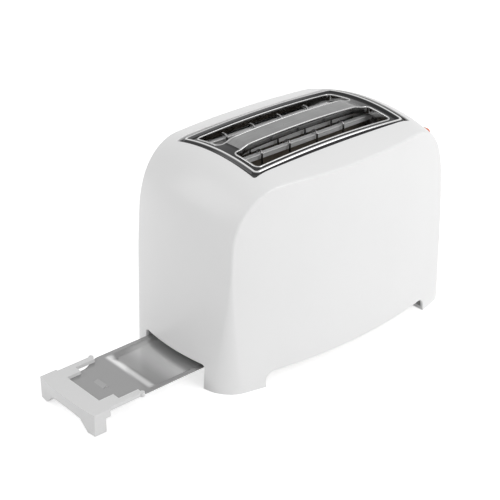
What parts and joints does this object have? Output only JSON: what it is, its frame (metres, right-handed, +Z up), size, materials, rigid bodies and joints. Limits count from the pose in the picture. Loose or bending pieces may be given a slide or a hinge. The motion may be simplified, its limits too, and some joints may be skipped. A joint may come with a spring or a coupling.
{
  "type": "pop up toaster",
  "caption": "Pop-up toaster with arched moulded housing, steel slot frame over two bread slots, sprung bread lift with side lever, browning dial and draw-out crumb tray.",
  "frame": {"origin": "on the ground under the middle of the whole toaster as shown, with the crumb tray drawn out; the middle of the body itself lies 42.6 mm along +X", "axes": "+X from the crumb tray end towards the lever end, +Y across the two slots, +Z up"},
  "size_m": [0.3804, 0.155, 0.1804],
  "materials": {
    "shell": "white moulded plastic, satin gloss",
    "frame_steel": "pressed steel, polished bead and brushed bridge",
    "base_plastic": "light grey moulded plastic",
    "screw_steel": "zinc plated",
    "gland_rubber": "light grey rubber",
    "tray_steel": "cold rolled sheet, bright",
    "handle_plastic": "white moulded plastic, satin",
    "chassis_steel": "galvanised sheet",
    "mica": "mica board",
    "ribbon": "flat resistance strip",
    "wire_steel": "bright wire",
    "knob_orange": "orange moulded plastic",
    "control_plastic": "white moulded plastic",
    "iron": "soft iron",
    "copper": "enamelled copper winding",
    "black_plastic": "black moulded plastic",
    "board": "circuit board laminate"
  },
  "bodies": {
    "body": {"housing": "shell", "slot_frame": "frame_steel", "base_plate": "base_plastic", "base_screws": "screw_steel", "cord_gland": "gland_rubber", "tray_rails": "chassis_steel", "chassis_tray_end": "chassis_steel", "chassis_lever_end": "chassis_steel", "side_reflectors": "chassis_steel", "outer_heater_boards": "mica", "centre_heater_board": "mica", "outer_heater_ribbons": "ribbon", "centre_heater_ribbons": "ribbon", "guard_rails": "chassis_steel", "guard_wires": "wire_steel", "guide_rod": "wire_steel", "return_spring": "wire_steel", "rod_bracket": "chassis_steel", "magnet_core": "iron", "magnet_coil": "copper", "potentiometer": "black_plastic", "cancel_switch": "black_plastic", "control_board": "board"},
    "tray": {"tray_pan": "tray_steel", "tray_handle": "handle_plastic"},
    "lift": {"carriage": "chassis_steel", "bread_racks": "wire_steel", "lever_knob": "knob_orange", "latch_keeper": "iron"},
    "dial": {"dial_knob": "control_plastic", "dial_shaft": "wire_steel"},
    "button": {"cancel_button": "control_plastic"}
  },
  "joints": [
    {"name": "tray_slide", "type": "slide", "parent": "body", "child": "tray", "axis": [1, 0, 0], "range_m": [0, 0.102]},
    {"name": "lever_slide", "type": "slide", "parent": "body", "child": "lift", "axis": [0, 0, 1], "range_m": [-0.057, 0], "stiffness_N_per_m": 90, "springref_m": 0.04, "deforming": ["return_spring"]},
    {"name": "dial_turn", "type": "hinge", "parent": "body", "child": "dial", "pos_m": [0.17258, 0, 0.042], "axis": [1, 0, 0], "range_deg": [-135, 135]},
    {"name": "button_press", "type": "slide", "parent": "body", "child": "button", "axis": [-1, 0, 0], "range_m": [0, 0.002], "stiffness_N_per_m": 500, "springref_m": -0.002}
  ]
}
